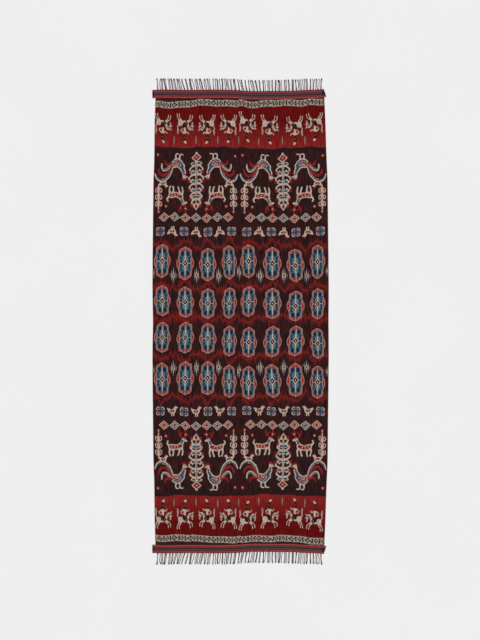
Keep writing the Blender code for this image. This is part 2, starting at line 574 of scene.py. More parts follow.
def spindle():
    """A slim grey lozenge that stands between two riders."""
    return (
        ("cream", stroke((0, -24, 1), (0, -4, 2.6), (0, 8, 2.6), (0, 22, 1))),
        ("shade", stroke((0, -20, 1.4), (0, -4, 3.6), (0, 8, 3.6), (0, 18, 1.4))),
    )


def rooster():
    """A rooster facing right with a high curved tail, standing on y = 0."""
    body = bend((-30, 74, 19), (-2, 60, 29), (26, 76, 21))
    wing = bend((-24, 72, 9), (-4, 62, 14), (14, 70, 7))
    neck = bend((28, 88, 17), (42, 114, 12.5), (43, 134, 10))
    tail = (
        ("cream", bend((-34, 92, 5), (-52, 140, 8), (-88, 172, 8.5), (-126, 164, 8), (-146, 130, 4))),
        ("blue", bend((-38, 92, 3), (-54, 138, 3.4), (-88, 168, 4), (-124, 160, 3.6), (-142, 132, 1.6))),
        ("red", bend((-38, 82, 6), (-62, 122, 7.5), (-92, 140, 7.5), (-116, 124, 7), (-124, 98, 3.5))),
        ("cream", bend((-40, 72, 6), (-66, 98, 7.5), (-88, 106, 7.5), (-102, 88, 6), (-104, 66, 3.5))),
        ("blue", bend((-44, 72, 2), (-66, 96, 3.2), (-87, 103, 3.2), (-99, 86, 2.4))),
        ("red", bend((-40, 62, 6), (-62, 72, 7), (-78, 66, 6), (-84, 46, 3.5))),
    )
    return (
        *tail,
        ("cream", body),
        ("cream", neck),
        ("cream", oval(46, 144, 12, 11)),
        ("cream", stroke((54, 144, 5), (70, 139, 1.6))),
        ("cream", bend((-10, 36, 6), (-14, 18, 4), (-10, 4, 4), (6, 3, 3.4))),
        ("cream", bend((12, 38, 6), (12, 18, 4), (18, 4, 4), (34, 3, 3.4))),
        ("blue", inset(body, 6.5)),
        ("red", wing),
        ("line", rim(wing, 1.9)),
        ("line", bend((-16, 70, 2.4), (-4, 64, 2.8), (6, 68, 2.4))),
        ("blue", bend((30, 92, 9), (41, 112, 7))),
        ("red", stroke((42, 122, 5.5), (43, 127, 5.5))),
        ("red", oval(35, 158, 6.5, 6.5)),
        ("red", oval(46, 162, 6.5, 7.5)),
        ("red", oval(57, 157, 5.5, 6)),
        ("red", oval(54, 128, 4.6, 7)),
        ("dark", oval(49, 145, 3.6, 3.4)),
    )


def stag():
    """A stag facing right with branching antlers, standing on y = 0."""
    body = bend((-32, 56, 16), (-4, 51, 15), (24, 58, 16))
    return (
        ("cream", body),
        ("cream", bend((26, 66, 11), (36, 84, 9), (41, 96, 9))),
        ("cream", stroke((42, 98, 9), (60, 90, 4.5))),
        ("cream", bend((-36, 50, 8), (-43, 26, 4.2), (-37, 4, 4.4))),
        ("cream", bend((-24, 46, 8), (-18, 24, 4.2), (-22, 4, 4.4))),
        ("cream", bend((18, 48, 8), (16, 24, 4.2), (9, 4, 4.4))),
        ("cream", bend((28, 50, 8), (37, 28, 4.2), (33, 4, 4.4))),
        ("cream", bend((-44, 64, 5), (-55, 76, 4.6), (-50, 91, 3.6))),
        ("red", bend((36, 106, 4.5), (20, 122, 4.4), (16, 148, 3.6))),
        ("red", bend((44, 107, 4.5), (56, 120, 4.4), (54, 150, 3.6))),
        ("red", stroke((21, 122, 3.8), (35, 136, 3.4))),
        ("red", stroke((55, 122, 3.8), (70, 132, 3.4))),
        ("red", inset(body, 6)),
        ("line", oval(-28, 56, 4, 4)),
        ("line", oval(-10, 52, 4, 4)),
        ("line", oval(8, 53, 4, 4)),
        ("blue", stroke((29, 74, 6), (37, 90, 5))),
        ("dark", oval(46, 98, 3.4, 3.2)),
    )


def tree():
    """A tree with curled branches, leaves and buds, rooted at y = 0."""
    marks = [
        ("cream", stroke((0, 0, 7), (0, 60, 5.4), (0, 300, 4.2))),
        ("red", stroke((0, 60, 2), (0, 300, 1.6))),
        ("cream", diamond(0, 24, 30, 27)),
        ("red", diamond(0, 24, 23, 20)),
        ("blue", diamond(0, 24, 13, 11)),
        ("cream", diamond(0, 306, 17, 24)),
        ("red", diamond(0, 306, 10, 15)),
        ("line", oval(0, 24, 4.4, 4.4)),
    ]
    for height, spread in ((70, 38), (122, 43), (174, 40), (226, 34), (264, 26)):
        curl = bend(
            (0, height, 5), (spread * 0.6, height + 4, 4.4), (spread, height + 20, 4.4),
            (spread * 0.78, height + 36, 4.2), (spread * 0.5, height + 27, 4),
        )
        bud = oval(spread, height + 36, 7.5, 10)
        leaf = oval(spread * 0.42, height - 12, 12, 6.5)
        marks += both_sides(("cream", curl), ("red", bud), ("cream", inset(leaf, -3.4)), ("blue", leaf))
    return tuple(marks)


def drop_plant():
    """A slim stem with pairs of drop leaves, rooted at y = 0."""
    marks = [
        ("cream", stroke((0, 0, 3.4), (0, 150, 3))),
        ("red", oval(0, 158, 9, 12)),
        ("line", oval(0, 158, 3.6, 5.5)),
    ]
    for height in (16, 56, 96):
        drop = bend((2, height, 2.8), (12, height + 12, 8), (13, height + 24, 7.5))
        marks += both_sides(("cream", drop), ("red", inset(drop, 4)))
    return tuple(marks)


def flower():
    """Four petals and four small leaves about an eye, centred on y = 0."""
    petals = four_corners(oval(13, 13, 11.5, 11.5))
    return (
        ("blue", oval(0, 0, 8, 31)),
        ("blue", oval(0, 0, 31, 8)),
        ("cream", petals),
        ("red", four_corners(oval(14, 14, 6.5, 6.5))),
        ("cream", oval(0, 0, 9, 9)),
        ("dark", oval(0, 0, 4, 4)),
    )


def small_bird():
    """A small bird facing right, standing on y = 0."""
    return (
        ("cream", bend((-26, 44, 4), (-10, 30, 11), (9, 30, 12))),
        ("cream", bend((14, 36, 8), (20, 50, 7), (32, 51, 2.4))),
        ("cream", stroke((-2, 20, 3.4), (-3, 3, 3.4))),
        ("cream", stroke((8, 20, 3.4), (9, 3, 3.4))),
        ("red", bend((-9, 31, 6), (7, 30, 7))),
        ("red", stroke((17, 60, 3.2), (20, 66, 3))),
        ("line", oval(0, 31, 3, 3)),
    )


def lozenge(first, second):
    """One link of the chain across the figures."""
    return (
        ("cream", diamond(0, 0, 31, 27)),
        (first, diamond(0, 0, 25, 21.5)),
        ("line", rim(diamond(0, 0, 15, 13), 2.0)),
        (second, diamond(0, 0, 10, 8.5)),
    )


def star_dot():
    """A small ring of red about a cream dot."""
    return (("red", oval(0, 0, 9.5, 10.5)), ("line", oval(0, 0, 4, 4.6)))


# Where the motifs stand: millimetres across a panel from its left edge, and from the middle

PANEL_ACROSS = 508.0
PANEL_ALONG = 1292.5
MOTIF_COLUMNS = {-1: (57.0, 190.0, 323.0, 449.0), 1: (52.0, 187.0, 320.0, 444.0)}
RIDER_COLUMNS = {-1: (52.0, 184.0, 317.0, 447.0), 1: (52.0, 182.0, 327.0, 444.0)}
ROSETTE_WIDTHS = {-1: (0.98, 1.04, 1.02, 0.90), 1: (0.94, 1.06, 1.03, 0.88)}

# The red end fields with their riders and borders
FIELD_EDGE = 1009.0
FIELD_WAVES = (
    # height, length, start
    (1.2, 31, 0),
    (0.8, 13, 1),
)
STRIPE_INSET = 3.5
STRIPE_HALF = 1.8
BORDER_MIDDLE = 1261.0
BORDER_HALF = 18.5
BORDER_LOWER = 5.0
BORDER_LINE = (
    # across both panels, how far outwards the border's middle line runs
    (0, -4), (60, -5), (94, -6), (150, -4), (199, -1), (269, 4), (357, 3), (503, 6), (534, 7),
    (586, 4), (660, 9), (797, 9), (860, 5), (880, 6), (929, 13), (976, 10), (1016, 9),
)
RIDER_ROWS = (
    # end, panel, then how far from the middle each column's horse stands
    (1, -1, (1203, 1203, 1195, 1202)),
    (1, 1, (1215, 1204, 1193, 1212)),
    (-1, -1, (1195, 1202, 1197, 1198)),
    (-1, 1, (1209, 1205, 1195, 1208)),
)
RIDER_SIZE = 0.94
SPINDLE_HEIGHT = 1049.0
BORDER_PITCH = 47.0
BORDER_CROWD = 0.9
BORDER_LEAN = 1.5

# How far the tied bundles slip along the cloth
TIE_SEED = 23
TIE_SLIP = 1.1
TIE_SWAYS = (
    # height, length across, length along, start
    (3.0, 57, 210, 0),
    (2.0, 23, -330, 2),
)

# The rosettes, and the bursts of grey streaks among them
OUTER_ROSETTE_SIZE = 1.0
INNER_ROSETTE_SIZE = 0.92
INNER_ROWS_END = 200
ROSETTE_ROOM = 10.0
ROSETTE_REACH = 101.0
ROSETTE_LEAN = 0.025
LEAN_SEED = 8
BURST_HALF_WIDTH = 29.0
BURST_HALF_HEIGHT = 52.0
INNER_BURST_HEIGHT = 266.0
EDGE_BURST_HEIGHT = 288.0
NO_REPEAT = 400.0
BURST_PLACE = 1000.0
ROSETTE_ROWS = (
    # end, panel, then how far each column's rosette stands from the middle
    (1, -1, (351, 334, 332, 344)),
    (1, 1, (352, 334, 329, 347)),
    (1, -1, (122, 109, 103, 111)),
    (1, 1, (118, 102, 90, 106)),
    (-1, -1, (92, 94, 102, 111)),
    (-1, 1, (122, 118, 117, 124)),
    (-1, -1, (337, 327, 332, 347)),
    (-1, 1, (360, 345, 344, 352)),
)

# The arches of flames
FLAME_LINES = (
    # over the columns, between them, how long the tongues are, whether on both halves
    (468.0, 424.0, 15.0, True),
    (226.0, 184.0, 18.0, True),
    (0.0, 30.0, 26.0, False),
)
COLUMN_BEFORE = -78.0
COLUMN_AFTER = 585.0

# The figured field
FIGURES = (
    # motif, how far either side of the panel's middle, how far from the cloth's middle, size
    (rooster, 112, 972, 0.92),
    (stag, 116, 782, 1.0),
    (drop_plant, 222, 790, 0.98),
    (small_bird, 196, 826, 0.9),
    (star_dot, 62, 655, 1.0),
    (star_dot, 178, 664, 1.0),
    (star_dot, 232, 962, 1.0),
)
TREE_GROUND = 974
CHAIN_HEIGHT = 602
CHAIN_PITCH = 63
FLOWER_HEIGHT = 522
BIRD_GROUND = 548
FLOWER_PITCH = 70
LINKS_ASIDE = 3

# The motifs' dyes in the order in which they are laid, and the end field under them all
LAYERS = ("cream", "stripe", "blue", "red", "shade", "line", "dark", "pale", "end_field")
MOTIF_ROOM = 9.0


def on_column(x):
    """The nearest column of points, so that a motif's middle keeps its point."""
    return round(x * COLUMNS / PANEL_ACROSS) * PANEL_ACROSS / COLUMNS


class Drawing:
    """A panel's motifs, as one distance for each layer at each of the panel's points."""

    def __init__(self, across, along):
        self.across = across
        self.along = along
        self.layers = {name: np.full(across.shape, FAR) for name in LAYERS}
        self.repeat_across = np.full(across.shape, NO_REPEAT)
        self.repeat_up = np.full(across.shape, ROSETTE_REACH)

    def place(self, motif, x, y, end, flip=1, size=1.0):
        """Draws a motif at x, standing y from the middle on this end's half, its top inwards."""
        reaches = [shape.reach for _, shape in motif]
        side = max(reach[0] for reach in reaches) * size + MOTIF_ROOM
        low = min(reach[1] for reach in reaches) * size - MOTIF_ROOM
        high = max(reach[2] for reach in reaches) * size + MOTIF_ROOM
        up = y - self.along * end
        near = (np.abs(self.across - x) < side) & (up > low) & (up < high)
        px = flip * (self.across[near] - x) / size
        py = up[near] / size
        for layer, shape in motif:
            found = shape(px, py) * size
            self.layers[layer][near] = np.minimum(self.layers[layer][near], found)

    def place_rosette(self, x, y, end, width, size, lean):
        """Keeps how far the points near a rosette lie from its middle, across and up."""
        up = (self.along * end - y) / size
        across = np.abs(self.across - on_column(x) - lean * up) / width
        edges, halves = zip(*ROSETTE_BODY)
        room = np.maximum(np.interp(np.abs(up), edges, halves), 0) + ROSETTE_ROOM
        self.keep_repeat(across, up, (across < room) & (np.abs(up) < ROSETTE_REACH))

    def place_burst(self, x, y, end):
        """Keeps the same for the points near a burst, counted down from BURST_PLACE."""
        across = np.abs(self.across - on_column(x))
        up = self.along * end - y
        near = across / BURST_HALF_WIDTH + np.abs(up) / BURST_HALF_HEIGHT < 1
        self.keep_repeat(BURST_PLACE - across, up, near)

    def keep_repeat(self, across, up, near):
        """Keeps these places where near is true and no other repeat stands."""
        free = near & (self.repeat_across == NO_REPEAT)
        self.repeat_across[free] = across[free]
        self.repeat_up[free] = up[free]

    def fill(self, layer, distance):
        """Adds a shape given by its distance at every point."""
        self.layers[layer] = np.minimum(self.layers[layer], distance)


def draw_end_field(drawing, side):
    """The red field by the band, with its riders and spindles."""
    from_middle = np.abs(drawing.along)
    wave = sum(high * np.sin(drawing.across / length + start) for high, length, start in FIELD_WAVES)
    drawing.layers["end_field"] = np.maximum(FIELD_EDGE + wave - from_middle, from_middle - BORDER_MIDDLE)
    rider, post = horse_and_rider(), spindle()
    columns = RIDER_COLUMNS[side]
    for end, row_side, grounds in RIDER_ROWS:
        if row_side != side:
            continue
        for k, (x, ground) in enumerate(zip(columns, grounds)):
            facing = 1 if k < 2 else -1
            drawing.place(rider, x, ground, end, flip=facing, size=RIDER_SIZE)
        for left, right in zip(columns, columns[1:]):
            drawing.place(post, (left + right) / 2, SPINDLE_HEIGHT, end)
        drawing.place(post, PANEL_ACROSS if side < 0 else 0.0, SPINDLE_HEIGHT, end)


def draw_figures(drawing):
    """The figured field: roosters, stags and plants either side of a tree, under a chain."""
    centre = PANEL_ACROSS / 2
    made = {maker: maker() for maker, *_ in FIGURES}
    blossom, bird, trunk = flower(), small_bird(), tree()
    links = (lozenge("blue", "red"), lozenge("red", "blue"))
    for end in (1, -1):
        drawing.place(trunk, centre, TREE_GROUND, end)
        for maker, off, y, size in FIGURES:
            drawing.place(made[maker], centre - off, y, end, size=size)
            drawing.place(made[maker], centre + off, y, end, flip=-1, size=size)
        for k in range(-LINKS_ASIDE, LINKS_ASIDE + 1):
            drawing.place(links[k % 2], centre + CHAIN_PITCH * k, CHAIN_HEIGHT, end)
            motif, y = (blossom, FLOWER_HEIGHT) if k % 2 else (bird, BIRD_GROUND)
            drawing.place(motif, centre + FLOWER_PITCH * k, y, end, flip=1 if k <= 0 else -1)


def draw_rosettes(drawing, side):
    """The four rows of rosettes and the feathered lozenges among them."""
    rng = np.random.default_rng(LEAN_SEED + side)
    columns = MOTIF_COLUMNS[side]
    for end, row_side, heights in ROSETTE_ROWS:
        if row_side != side:
            continue
        for x, y, width in zip(columns, heights, ROSETTE_WIDTHS[side]):
            size = OUTER_ROSETTE_SIZE if y > INNER_ROWS_END else INNER_ROSETTE_SIZE
            drawing.place_rosette(x, y, end, width, size, rng.normal(0, ROSETTE_LEAN))
    for end in (1, -1):
        for left, right in zip(columns, columns[1:]):
            drawing.place_burst((left + right) / 2, INNER_BURST_HEIGHT, end)
        for x in (0.0, PANEL_ACROSS):
            drawing.place_burst(x, EDGE_BURST_HEIGHT, end)


def draw_outer_edge(drawing, side):
    """A thin dark red stripe along the panel's outer edge, inside the red end fields."""
    from_edge = drawing.across if side < 0 else PANEL_ACROSS - drawing.across
    in_field = np.abs(drawing.along) - FIELD_EDGE
    stripe = np.abs(from_edge - STRIPE_INSET) - STRIPE_HALF
    drawing.fill("stripe", np.maximum(stripe, in_field))


def flame_lift(across, side):
    """Where the flames' arches stand over a column, 1, or between two, 0."""
    columns = (COLUMN_BEFORE, *MOTIF_COLUMNS[side], COLUMN_AFTER)
    phase = np.interp(across, columns, range(len(columns)))
    return 0.5 + 0.5 * np.cos(2 * math.pi * phase)


def tied_unevenness(across, along):
    """How the tied bundles slip along the cloth, as the pattern's shift at each point."""
    rng = np.random.default_rng(TIE_SEED)
    bundles = np.round(across / PANEL_ACROSS * COLUMNS).astype(int)
    shifts = rng.normal(0, TIE_SLIP, (2, COLUMNS + 3))
    slip = shifts[(along > 0).astype(int), np.clip(bundles + 1, 0, COLUMNS + 2)]
    sway = sum(
        high * np.sin(across / wide + along / long + start) for high, wide, long, start in TIE_SWAYS
    )
    return slip + sway


# The pieces

# A panel's turned-down rim, its seam edge, and the room left in its map for baking
RIM_DROP = 0.35 * MM
RIM_PLACE = 0.4999
SEAM_REACH = 0.1 * MM
BAKE_MARGIN = 0.008
RIM_ROOM = 0.006


def fill_points(mesh, name, *columns):
    """Keeps three numbers at each point of a mesh, for its finish to read."""
    values = np.column_stack(columns).astype(np.float32)
    mesh.attributes.new(name, "FLOAT_VECTOR", "POINT").data.foreach_set("vector", values.ravel())


def points_of(mesh):
    """The places of a mesh's points, a row each."""
    found = np.empty(len(mesh.vertices) * 3, np.float32)
    mesh.vertices.foreach_get("co", found)
    return found.reshape(-1, 3).astype(float)


def add_piece(name, mesh, finish, nodes=()):
    """Puts a mesh in the scene as one of the cloth's pieces."""
    mesh.materials.append(finish.material)
    mesh.shade_smooth()
    piece = bpy.data.objects.new(name, mesh)
    bpy.context.scene.collection.objects.link(piece)
    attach(piece, "root")
    if nodes:
        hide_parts(*nodes)
    return piece


def lay_bake_map(mesh, share, t, dropped):
    """A map of the panel in two strips side by side, one for each half of its length."""
    count = len(mesh.loops)
    corners = np.empty(count, np.int32)
    mesh.loops.foreach_get("vertex_index", corners)
    starts = np.empty(len(mesh.polygons), np.int32)
    mesh.polygons.foreach_get("loop_start", starts)
    totals = np.empty(len(mesh.polygons), np.int32)
    mesh.polygons.foreach_get("loop_total", totals)
    face_t = np.add.reduceat(t[corners], starts) / totals
    upper = np.repeat(face_t > 0, totals)
    low, high = np.abs(share[corners] - 0.5) * 2, np.abs(t[corners])
    spread = 1 + RIM_ROOM * dropped[corners]
    across = 0.25 + np.sign(share[corners] - 0.5) * low * spread * (0.25 - BAKE_MARGIN)
    along = 0.5 + (high * spread - 0.5) * (1 - 2 * BAKE_MARGIN)
    layer = mesh.uv_layers.new(name="OFBake")
    places = np.column_stack((np.where(upper, across, across + 0.5), along)).astype(np.float32)
    layer.uv.foreach_set("vector", places.ravel())


def sheet_grid(name):
    """A grid on a unit square, with a rim one unit below its edges."""
    bm = bmesh.new()
    bmesh.ops.create_grid(bm, x_segments=COLUMNS, y_segments=ROWS, size=0.5)
    border = [edge for edge in bm.edges if edge.is_boundary]
    grown = bmesh.ops.extrude_edge_only(bm, edges=border)["geom"]
    for part in grown:
        if isinstance(part, bmesh.types.BMVert):
            part.co.z = -1.0
    mesh = bpy.data.meshes.new(name)
    bm.to_mesh(mesh)
    bm.free()
    return mesh


def keep_motifs(mesh, side, across, along):
    """Draws a panel's motifs and keeps them at its points, for its finish to read."""
    slip = tied_unevenness(across, along)
    drawing = Drawing(across, along + slip)
    draw_end_field(drawing, side)
    draw_figures(drawing)
    draw_rosettes(drawing, side)
    draw_outer_edge(drawing, side)
    marks = drawing.layers
    from_left = across + PANEL_ACROSS * (side > 0)
    fill_points(mesh, "place", from_left, along + slip, flame_lift(across, side))
    fill_points(mesh, "figures", marks["cream"], marks["stripe"], marks["blue"])
    fill_points(mesh, "details", marks["red"], marks["shade"], marks["line"])
    fill_points(mesh, "grounds", marks["dark"], marks["end_field"], marks["pale"])
    fill_points(mesh, "repeats", drawing.repeat_across, drawing.repeat_up, np.zeros_like(across))


def panel(name, side, finish):
    """One loom width of cloth, a fine sheet on its solid's folds with a turned-down rim."""
    mesh = sheet_grid(name)
    places = points_of(mesh)
    share = places[:, 0] + 0.5
    t = places[:, 1] * 2
    dropped = places[:, 2] < -0.5
    at_rim = (np.abs(places[:, 0]) > RIM_PLACE) | (np.abs(places[:, 1]) > RIM_PLACE)
    left, right = panel_edges(np.abs(t) * band_inner(0.0), side)
    x = left + share * (right - left)
    end = band_inner(x) - PIECE_GAP
    at_seam = np.abs(x - (right if side < 0 else left)) < SEAM_REACH
    top = CLOTH_THICKNESS - np.where(at_rim & ~at_seam, RIM_DROP, 0)
    z = ripple_height(x, (1 - np.abs(t)) * end) + np.where(dropped, 0, top)
    mesh.vertices.foreach_set("co", np.column_stack((x, t * end, z)).astype(np.float32).ravel())
    lay_bake_map(mesh, share, t, dropped)
    keep_motifs(mesh, side, share * PANEL_ACROSS, t * PANEL_ALONG)
    return add_piece(name, mesh, finish, [name.replace("ikat_", "")])


# Finishes, whose sizes are in millimetres and whose noises are in waves a millimetre

FLAME_PITCH = 11.5
FLAME_SWAY = 36.0
FLAME_STEP = 30.0
LINK_HALF = 4.8
SHORTEST_TONGUE = 6.0
TONGUE_HALF = 2.9
FINGER_PITCH = 9.5
# Steps that keep the random draws apart, from line to line and for the tongues' lengths
DRAWS_A_LINE = 400.0
DRAWS_OF_LENGTH = 177.0

ROSETTE_BODY = (
    # up from the middle, half width
    (0, 49), (12, 48), (22, 45), (31, 39.5), (36, 35), (40, 33.5), (45, 35.5), (60, 36.5), (74, 35.5),
    (80, 31), (86, 22), (92, 11), (97, 2), (99, -4),
)
ROSETTE_RING = (
    (0, 46), (12, 45), (22, 42), (30, 36), (35, 31.5), (39, 30), (45, 32.5), (60, 33.7), (72, 32.7),
    (78, 27.5), (84, 18), (90, 6), (93, -4),
)
ROSETTE_CORE = (
    (0, 30.5), (6, 33), (12, 29), (19, 33), (25, 30), (29, 31), (33, 36), (38, 38), (42, 37), (45, 30),
    (49, 26), (56, 29), (65, 28), (70, 24), (74, 13), (76, 2), (77, -4),
)
ROSETTE_GREY = (
    (0, 15), (10, 14), (16, 15), (24, 17), (31, 14), (37, 8), (43, 3), (70, 2.6), (74, 0), (76, -4),
)
ROSETTE_GLOW = ((0, 15.5), (7, 12.5), (14, 7.5), (22, 2.8), (70, 1.8), (74, 1), (76, -4))


class Cotton(Finish):
    """Cotton dyed in tied bundles before weaving, so that every edge is feathered."""

    def __init__(self, name):
        super().__init__(name, 0.93, shine=0.07)
        self.across, self.along, self.lift = self.stored("place")
        across, along = self.across, self.along
        self.thread = self.chance((across / YARN_MM).floor())
        self.fine_run = self.noise(across * 0.9, along * 0.09)
        self.run = self.noise(across * 0.22, along * 0.016, detail=3)
        self.patch = self.noise(across * 0.011, along * 0.014, detail=3)
        self.mottle = self.noise(across * 0.05, along * 0.009 + 31.0)
        self.fleck = self.noise(across * 0.5, along * 0.35)
        self.grain = self.noise(across * 0.28, along * 0.14, detail=1)
        self.feather = (self.thread - 0.5) * 1.2 + (self.fine_run - 0.5) * 3.6

    def mark(self, distance, soft=1.4, spread=1.0):
        """How far a dye covers, 0 to 1, where a shape's distance falls below nothing."""
        return (0.5 - (distance + self.feather * spread) / soft).within()

    def lay(self, colour, distance, new):
        """Lays a new colour inside the shape of this distance."""
        return self.mix(self.mark(distance), colour, new)

    def between(self, share, first, second, low=-0.2, high=1.2):
        """A dye that varies from first to second with a noise, widened past both."""
        return self.mix(share * (high - low) + low, first, second)


def flames(cotton):
    """The distance to the red chains of feathered tongues that arch about the rosettes."""
    place = cotton.across / FLAME_PITCH
    before, share = place.floor(), place.part()
    nearest = (place + 0.5).floor()
    beside = share.least(1.0 - share) * FLAME_PITCH
    found = None
    for k, (over, aside, longest, both_halves) in enumerate(FLAME_LINES):
        row = DRAWS_A_LINE * k
        uneven = cotton.noise(cotton.across * 0.03, cotton.along * 0.004 + 9.0 * k, detail=1)
        sway = (uneven - 0.5) * FLAME_SWAY
        up = cotton.along.size() if both_halves else cotton.along
        off = up - (cotton.lift * (over - aside) + aside) + sway
        low, high = cotton.chance(before + row), cotton.chance(before + (row + 1.0))
        step = low + (high - low) * share
        link = (off + step * FLAME_STEP - FLAME_STEP / 2).size() - LINK_HALF
        level = off + cotton.chance(nearest + row) * FLAME_STEP - FLAME_STEP / 2
        reach = cotton.chance(nearest + (row + DRAWS_OF_LENGTH)) * longest + SHORTEST_TONGUE
        tongue = (level.size() - reach).most((beside - TONGUE_HALF) * 1.6)
        gap = link.least(tongue)
        found = gap if found is None else found.least(gap)
    return found


def lozenge_from(across, up, half_across, half_up, scale):
    """The distance to a lozenge of these half sizes, on values that are nothing at its middle."""
    return (across / half_across + up / half_up) * scale - scale


def border_marks(cotton, beyond, off):
    """The distance to the end border's dark rings and spools, which crowd and lean a little."""
    crowd = (cotton.noise(cotton.across * 0.012, 5.0, detail=1) - 0.5) * BORDER_CROWD
    lean = (cotton.noise(cotton.across * 0.02, 17.0, detail=1) - 0.5) * BORDER_LEAN
    place = ((cotton.across + beyond * lean) / BORDER_PITCH + crowd).part()
    from_ring = (place - 0.5).size() * BORDER_PITCH
    from_spool = BORDER_PITCH / 2 - from_ring
    ring = (from_ring + off - 11.8).size() * 0.7 - (from_ring - off).size() * 0.14 - 2.1
    dot = from_ring + off - 3.8
    spool = (from_spool - off * 0.36 - 2.8).most(off - 13.0)
    return ring.least(dot).least(spool)


def dyed_grounds(cotton, end_field):
    """The dark field with its flames, and the red end field with its border."""
    run, fleck = cotton.run, cotton.fleck
    colour = cotton.between(run, *tones("ground"), -0.7, 1.6)
    outside = ((cotton.along.size() - BORDER_MIDDLE) / 10.0).within()
    near_reds = (1.0 - end_field / 60.0).within() * (1.0 - outside)
    aside = 1.0 - cotton.lift
    indigo = ((cotton.patch - 0.5) * 5.0 + near_reds * 0.9 + aside * 0.5 - 0.6).within()
    colour = cotton.mix(indigo * 0.75, colour, dye("indigo black"))
    rust = ((cotton.mottle - 0.5) * 5.0 + aside * 0.4 - 0.55).within() * (1.0 - indigo)
    colour = cotton.mix(rust * 0.5, colour, dye("rust"))
    colour = cotton.mix(outside * run * 0.3, colour, dye("strip by the band"))
    flame_dye = cotton.between(cotton.grain, *tones("flame"), -0.6, 1.6)
    from_flame = flames(cotton)
    colour = cotton.mix(cotton.mark(from_flame - 7.0, 16.0, 3.4) * 0.4, colour, dye("about the flames"))
    colour = cotton.mix(cotton.mark(from_flame + 0.6, 4.4, 2.4) * 0.85, colour, flame_dye)

    end_red = cotton.between(run, *tones("end red"), -0.5, 1.5)
    end_red = cotton.mix((cotton.grain * 4.0 - 2.1).within() * 0.6, end_red, dye("end red fleck"))
    inner_edge = (1.0 - (cotton.along.size() - FIELD_EDGE) / 150.0).within()
    end_red = cotton.mix(inner_edge * run, end_red, dye("end red worn"))
    colour = cotton.mix(cotton.mark(end_field, 2.0, 2.2), colour, end_red)

    lower_end = 1.0 - cotton.along.within()
    middle = cotton.profile(cotton.across, BORDER_LINE) + BORDER_MIDDLE - lower_end * BORDER_LOWER
    beyond = cotton.along.size() - middle
    off = beyond.size()
    border = cotton.between(fleck, *tones("border"), -0.4, 1.4)
    colour = cotton.lay(colour, off - BORDER_HALF, border)
    ink = cotton.mix(fleck, *tones("border ink"))
    return cotton.lay(colour, border_marks(cotton, beyond, off).most(off - BORDER_HALF), ink)


def dyed_bursts(cotton, colour, place, up):
    """Feathered grey streaks about a pale lozenge with a dark eye, between the rosettes."""
    across, out = BURST_PLACE - place, up.size()
    fingers = 0.5 - (across * (2 * math.pi / FINGER_PITCH) + math.pi / 2).sine() * 0.5
    streak = cotton.chance((cotton.across / FINGER_PITCH).floor())
    outer = lozenge_from(across, out, 28.0, 50.0, 18.0) + fingers * 17.0 + streak * 6.0 - 3.0
    outer = outer.most(across - 23.0)
    inner = lozenge_from(across, out, 20.0, 30.0, 10.0) + fingers * 9.0 + streak * 3.0 - 2.0
    colour = cotton.mix(cotton.mark(outer, 4.0) * 0.9, colour, dye("grey streak"))
    colour = cotton.mix(cotton.mark(inner, 3.0) * 0.9, colour, dye("pale streak"))
    colour = cotton.lay(colour, lozenge_from(across, out, 9.5, 13.0, 7.6), dye("burst lozenge"))
    return cotton.lay(colour, lozenge_from(across, out, 6.6, 8.8, 5.2), dye("burst eye"))


def dyed_rosettes(cotton, colour, u, v):
    """Rosettes of a salmon ring about deep blue petals, u across and v up from the middle."""
    v = (v + (cotton.fine_run - 0.5) * 4.0).size()
    core = u - cotton.profile(v, ROSETTE_CORE)
    grey = u - cotton.profile(v, ROSETTE_GREY)
    lens = lozenge_from((u - 41.0).size(), v, 5.0, 12.0, 4.5)
    from_cap = (v - 84.0).size()
    cap = lozenge_from(u, from_cap, 17.0, 7.0, 6.0)
    cap_dot = lozenge_from(u, from_cap, 4.0, 3.4, 3.0)
    bar = (v - 1.4).most((u - 22.5).size() - 8.5)
    eye = lozenge_from(u, v, 9.0, 12.0, 7.2)

    cream = cotton.between(cotton.run, *tones("rosette cream"))
    spots = ((u * 0.95 + cotton.run * 3.0).sine() * (v * 0.62).sine() * 2.0 + 0.35).within()
    salmon = cotton.mix(spots, *tones("rosette ring"))
    depth = ((0.0 - core).least(grey) / 8.0).within()
    blue = cotton.mix(depth, *tones("petals"))
    blue = cotton.mix((cotton.grain * 3.0 - 1.2).within() * 0.3, blue, dye("petal fleck"))
    between_petals = (v + u * 0.2 - 44.0).size() - 2.4
    blue = cotton.mix(cotton.mark(between_petals, 5.0) * 0.7, blue, dye("between petals"))
    arcs = ((u * 0.5 + v * 0.3).sine() * 0.7 + cotton.grain * 1.6 - 0.4).within()
    haze = cotton.mix(arcs, *tones("haze"))

    colour = cotton.lay(colour, u - cotton.profile(v, ROSETTE_BODY), dye("ring edge"))
    colour = cotton.lay(colour, u - cotton.profile(v, ROSETTE_RING), salmon)
    colour = cotton.lay(colour, lens.least(cap), dye("ring cap"))
    colour = cotton.lay(colour, cap_dot, cream)
    colour = cotton.lay(colour, core - 1.8, dye("petal edge"))
    colour = cotton.lay(colour, core, blue)
    colour = cotton.lay(colour, grey, haze)
    colour = cotton.lay(colour, (u - cotton.profile(v, ROSETTE_GLOW)).least(bar), cream)
    colour = cotton.lay(colour, eye - 3.8, dye("eye ring"))
    return cotton.lay(colour, eye + 4.4, dye("eye dot"))


